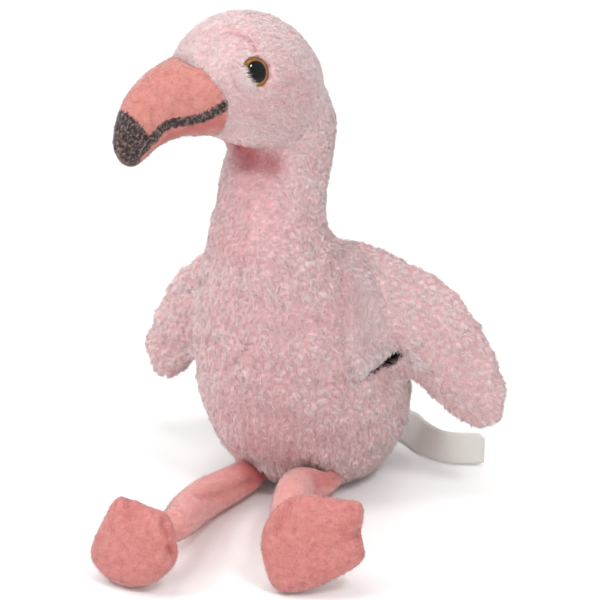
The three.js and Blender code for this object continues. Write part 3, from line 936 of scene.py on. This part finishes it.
def addTongue(piece, start, end, low, high, flat):  # carries a sewn piece on into the one that it is sewn to
    start, end = Vector(start) * mm, Vector(end) * mm
    turn = (end - start).to_track_quat("Z", "Y").to_euler()
    tongue = add("tongue", bpy.ops.mesh.primitive_cone_add, vertices=40, radius1=low * mm, radius2=high * mm,
                 depth=(end - start).length, location=(start + end) / 2, rotation=turn, scale=(1, flat, 1))
    pick(tongue, piece)
    bpy.ops.object.join()


def buildVelour(name, finish):
    plan = velour[name]
    piece = softCopy(name + "_cover", (name,))
    for tongue in plan["tongues"]:
        addTongue(piece, *tongue)
    remesh(piece, sewing["rough"], sewing["evening"])
    swell(piece, -sewing["inset"])
    puff(piece, plan, seamOver(name, piece))
    shape(piece, "SUBSURF", levels=1, render_levels=1)
    remesh(piece, sewing["voxel"], sewing["smoothing"])
    swell(piece, -sewing["sunk"] - sewing["groove"] * bell(seamOver(name, piece) * mm, sewing["grooveWidth"]))
    layOn(piece, creases[name])
    press(piece, creases[name])
    swell(piece, waves(points(piece), nap["wander"])[:, 0] * nap["lump"])
    unwrap(piece)
    places = points(piece)
    paintedShade = shadeOver(places, creases[name])
    spray = sprayOver(places) if name == "beak" else np.zeros(len(places))
    keep(piece, "spray", spray)
    keep(piece, "deep", paintedShade)
    keep(piece, "tone", np.full(len(places), nap["skinTone"]))
    stand(piece, (name,), finish)
    growNap(piece, name, np.stack([spray, paintedShade], 1), finish)


def growNap(piece, name, colours, finish):
    rng = np.random.default_rng(nap["seed"])
    count = int(sum(face.area for face in piece.data.polygons) * nap["perArea"])
    roots = scatter(piece, count, rng, np.ones(len(colours)))
    normal = roots["normal"]
    wander = waves(roots["place"], nap["wander"])
    flow = rng.normal(0, nap["stray"], (count, 3)) + wander * nap["sway"] + np.array(nap["way"])
    flow = unit(across(flow, normal))
    lift = rng.uniform(*nap["lifts"], count) * degree
    root = roots["place"] - normal * nap["sunk"]
    tip = root + tilt(flow, normal, lift) * (nap["length"] * rng.uniform(*nap["lengths"], count))[:, None]
    width = nap["width"] * rng.uniform(*nap["widths"], count)[:, None]
    here = roots["at"](colours)
    tone = nap["skinTone"] + wander[:, 0] * nap["swayTone"] + rng.random(count) * nap["tones"]
    tufts = tuftMesh(name + "_nap", [root], [width], tip, unit(np.cross(normal, flow)), normal, roots["uv"],
                     {"spray": here[:, 0], "deep": here[:, 1], "tone": tone})
    stand(tufts, (), finish)


# Eyes

eye = {"radius": 4.85 * mm, "dome": 2.5 * mm, "depth": 6 * mm, "back": 0.1 * mm, "disc": 0.12 * mm,
       "discShare": 0.985, "sunk": 0.1 * mm, "ahead": 8.4, "side": 18.4, "up": 9.0, "turn": 95 * degree,
       "lift": 18 * degree, "pupil": 0.66, "softness": 0.02, "streaks": 0.2, "rimEdge": 0.98,
       "amber": (0.48, 0.20, 0.03, 1), "rim": (0.24, 0.085, 0.014, 1), "black": (0.004, 0.004, 0.004, 1)}


def irisFinish():
    finish, wire, shader = newFinish("eye_iris", 0.6, Specular_IOR_Level=0.0)
    radial = attribute(wire, "radial")
    streaked = radial + (noise(wire, 1800.0) - 0.5) * eye["streaks"]
    amber = mixed(wire, step(wire, streaked, eye["pupil"], eye["rimEdge"]), eye["amber"], eye["rim"])
    edge = step(wire, radial, eye["pupil"] - eye["softness"], eye["pupil"] + eye["softness"])
    paint(wire, shader, mixed(wire, edge, eye["black"], amber))
    return finish


def lensFinish():
    return newFinish("eye_lens", 0.02, Base_Color=(1, 1, 1, 1), Transmission_Weight=1.0, IOR=1.38,
                     Specular_Tint=(0.9, 0.91, 0.95, 1))[0]


def eyePart(node, kind, side, sink, height, finish, share=1.0):
    part = add(f"{node}_{kind}", bpy.ops.mesh.primitive_uv_sphere_add, segments=64, ring_count=32,
               radius=eye["radius"] * share)
    outward = eyeWay(side)
    part.rotation_euler = outward.to_track_quat("Z", "Y").to_euler()
    part.location = eyeSpot(side) + outward * sink
    local = points(part)
    keep(part, "radial", np.hypot(local[:, 0], local[:, 1]) / eye["radius"])
    local[:, 2] *= np.where(local[:, 2] > 0, height, eye["back"]) / eye["radius"]
    movePoints(part, local)
    bpy.ops.object.transform_apply(location=True, rotation=True, scale=True)
    stand(part, (node,), finish)


def eyeWay(side):
    outward = Vector((side * math.sin(eye["turn"]) * math.cos(eye["lift"]),
                      -math.cos(eye["turn"]) * math.cos(eye["lift"]), math.sin(eye["lift"])))
    outward.rotate(Matrix.Rotation(head["turn"], 3, "Z"))
    return outward


def eyeSpot(side):
    return Vector(headPlace(eye["ahead"], side * eye["side"], eye["up"]))


wisps = {"seed": 31, "clumps": 14, "count": 22, "spread": 0.55, "low": 0.3, "width": 0.09 * mm, "reach": 3.0,
         "rim": 5.0, "from": 5.3, "over": 2.2, "rootStray": 0.32, "tipStray": 0.16, "shortest": 0.3,
         "back": 0.1, "skinUp": -0.3, "skinRound": 0.023, "middleUp": 0.5, "tipUp": 0.35, "uneven": 0.4,
         "marks": {"crease": 0, "tone": 0.3, "blushAndShade": 0.12, "deep": 0}}


def buildEye(side, iris, lens, plush):
    name = "eye_left" if side > 0 else "eye_right"
    eyePart(name, "iris", side, eye["sunk"], eye["disc"], iris, eye["discShare"])
    eyePart(name, "lens", side, 0, eye["dome"], lens)
    growWisps(name, side, plush)


def growWisps(name, side, plush):  # pile that hangs over the front edge of the eye
    rng = np.random.default_rng(wisps["seed"])
    centre, out = np.array(eyeSpot(side)), np.array(eyeWay(side))
    front = unit(across(headAhead[None], out[None])[0])
    low = np.cross(out, front) * side
    total = wisps["clumps"] * wisps["count"]
    turn = np.repeat(rng.normal(wisps["low"], wisps["spread"], wisps["clumps"]), wisps["count"])
    reach = np.repeat(rng.uniform(0, 1, wisps["clumps"]), wisps["count"])
    reach = reach * rng.uniform(wisps["shortest"], 1, total)
    reach = reach * np.clip(np.cos(turn), wisps["back"], 1) * wisps["reach"]

    def ring(radius, turns, raised):
        ray = tilt(front, low, turns)
        dome = eye["dome"] / mm * np.sqrt(np.clip(1 - (radius * mm / eye["radius"]) ** 2, 0, 1))
        return centre + (ray * radius[:, None] + out * (dome + raised)[:, None]) * mm, ray

    start = wisps["from"] + rng.uniform(0, wisps["over"], total)
    rootTurn, tipTurn = (turn + rng.normal(0, wisps[stray], total) for stray in ("rootStray", "tipStray"))
    root, ray = ring(start, rootTurn, wisps["skinUp"] - wisps["skinRound"] * start ** 2)
    tip = ring(wisps["rim"] - reach, tipTurn, wisps["tipUp"] + rng.uniform(0, wisps["uneven"], total))[0]
    middle = ring((start + wisps["rim"] - reach) / 2, (rootTurn + tipTurn) / 2,
                  wisps["middleUp"] + rng.uniform(0, wisps["uneven"], total))[0]
    width = np.full((total, 1), wisps["width"])
    level = {mark: np.full(total, value) for mark, value in wisps["marks"].items()}
    tufts = tuftMesh(name + "_wisps", [root, middle], [width, width * locks["taper"]], tip,
                     np.cross(ray, out), ray + out, rng.random((total, 2)), level)
    stand(tufts, (), plush)


# Tag

tag = {"path": [(16, 33.6), (22, 32.5), (31, 26.5), (42, 23.2), (54.5, 28.5)], "height": 12.0, "lift": 0.5,
       "lean": 52 * degree, "half": 0.3, "round": 1.6, "thickness": 0.2, "steps": 60, "rows": 10, "fold": 8,
       "corner": 3.5, "cornerDip": 0.6, "wave": 0.35, "waves": 11}


def tagPath(count):  # a smooth curve through the path's points, with the way it runs
    corners = np.array(tag["path"], float)
    corners = np.vstack([2 * corners[0] - corners[1], corners, 2 * corners[-1] - corners[-2]])
    spots = []
    for share in np.linspace(0, len(tag["path"]) - 1, count):
        i = min(int(share), len(tag["path"]) - 2)
        u = share - i
        a, b, c, d = corners[i:i + 4]
        spots.append(0.5 * (2 * b + (c - a) * u + (2 * a - 5 * b + 4 * c - d) * u ** 2
                            + (3 * b - a - 3 * c + d) * u ** 3))
    spots = np.array(spots)
    return spots, unit(np.gradient(spots, axis=0))


def buildTag(finish):
    steps, rows, fold = tag["steps"], tag["rows"], tag["fold"]
    spots, ways = tagPath(steps)
    aside = np.stack([ways[:, 1], -ways[:, 0]], 1)
    lean = tag["lean"] * (1 - np.linspace(0, 1, steps)) ** 2
    turn = np.linspace(0, math.pi, fold + 2)[1:-1]
    bend = spots[-1] + tilt(aside[-1], ways[-1], turn) * tag["half"] * tag["round"]
    line = np.vstack([spots + aside * tag["half"], bend, (spots - aside * tag["half"])[::-1]])
    leans = np.concatenate([lean, np.zeros(fold), lean[::-1]])
    sides = np.vstack([aside, np.repeat(aside[-1:], fold, 0), aside[::-1]])
    away = far(line - line[steps + fold // 2])
    end = tag["corner"] - np.sqrt(tag["corner"] ** 2 - np.clip(tag["corner"] - away, 0, tag["corner"]) ** 2)
    ribbon = add("tag_ribbon", bpy.ops.mesh.primitive_grid_add, x_subdivisions=len(line) - 1,
                 y_subdivisions=rows, size=2)
    grid = points(ribbon)
    i = np.rint((grid[:, 0] + 1) / 2 * (len(line) - 1)).astype(int)
    up = (grid[:, 1] + 1) / 2
    height = tag["height"] - (1 + tag["cornerDip"]) * end[i]
    level = tag["lift"] + tag["cornerDip"] * end[i] + up * height * np.cos(leans[i])
    wave = tag["wave"] * np.sin(i / steps * tag["waves"]) * (up - 0.5)
    flat = line[i] - sides[i] * (up * height * np.sin(leans[i]) - wave)[:, None]
    movePoints(ribbon, np.column_stack([flat, level]) * mm)
    shape(ribbon, "SOLIDIFY", thickness=tag["thickness"] * mm, offset=0.0)
    stand(ribbon, ("tag",), finish)


# Floor

def buildFloor():
    floor = add("studio_floor", bpy.ops.mesh.primitive_plane_add, size=room["width"])
    floor.data.materials.append(newFinish("studio_paper", 0.9, Base_Color=(*room["floor"], 1))[0])


addCamera()
addLamps()
buildFloor()
plush = plushFinish()
velourFinishes = {kind: velourFinish(kind) for kind in ("beak", "leg", "foot")}
plushSkin, skinShares = buildCover()
print("cover", len(plushSkin.data.polygons))
pileClumps = buildClumps(plushSkin, skinShares)
growPile(plushSkin, skinShares, pileClumps, plush)
stand(plushSkin, cover["nodes"], plush)
for velourName in velour:
    buildVelour(velourName, velourFinishes[velourName.split("_")[0]])
    print("velour", velourName)
irisPaint, lensPlastic = irisFinish(), lensFinish()
for eyeSide in (1, -1):
    buildEye(eyeSide, irisPaint, lensPlastic, plush)
buildTag(ribbonFinish())
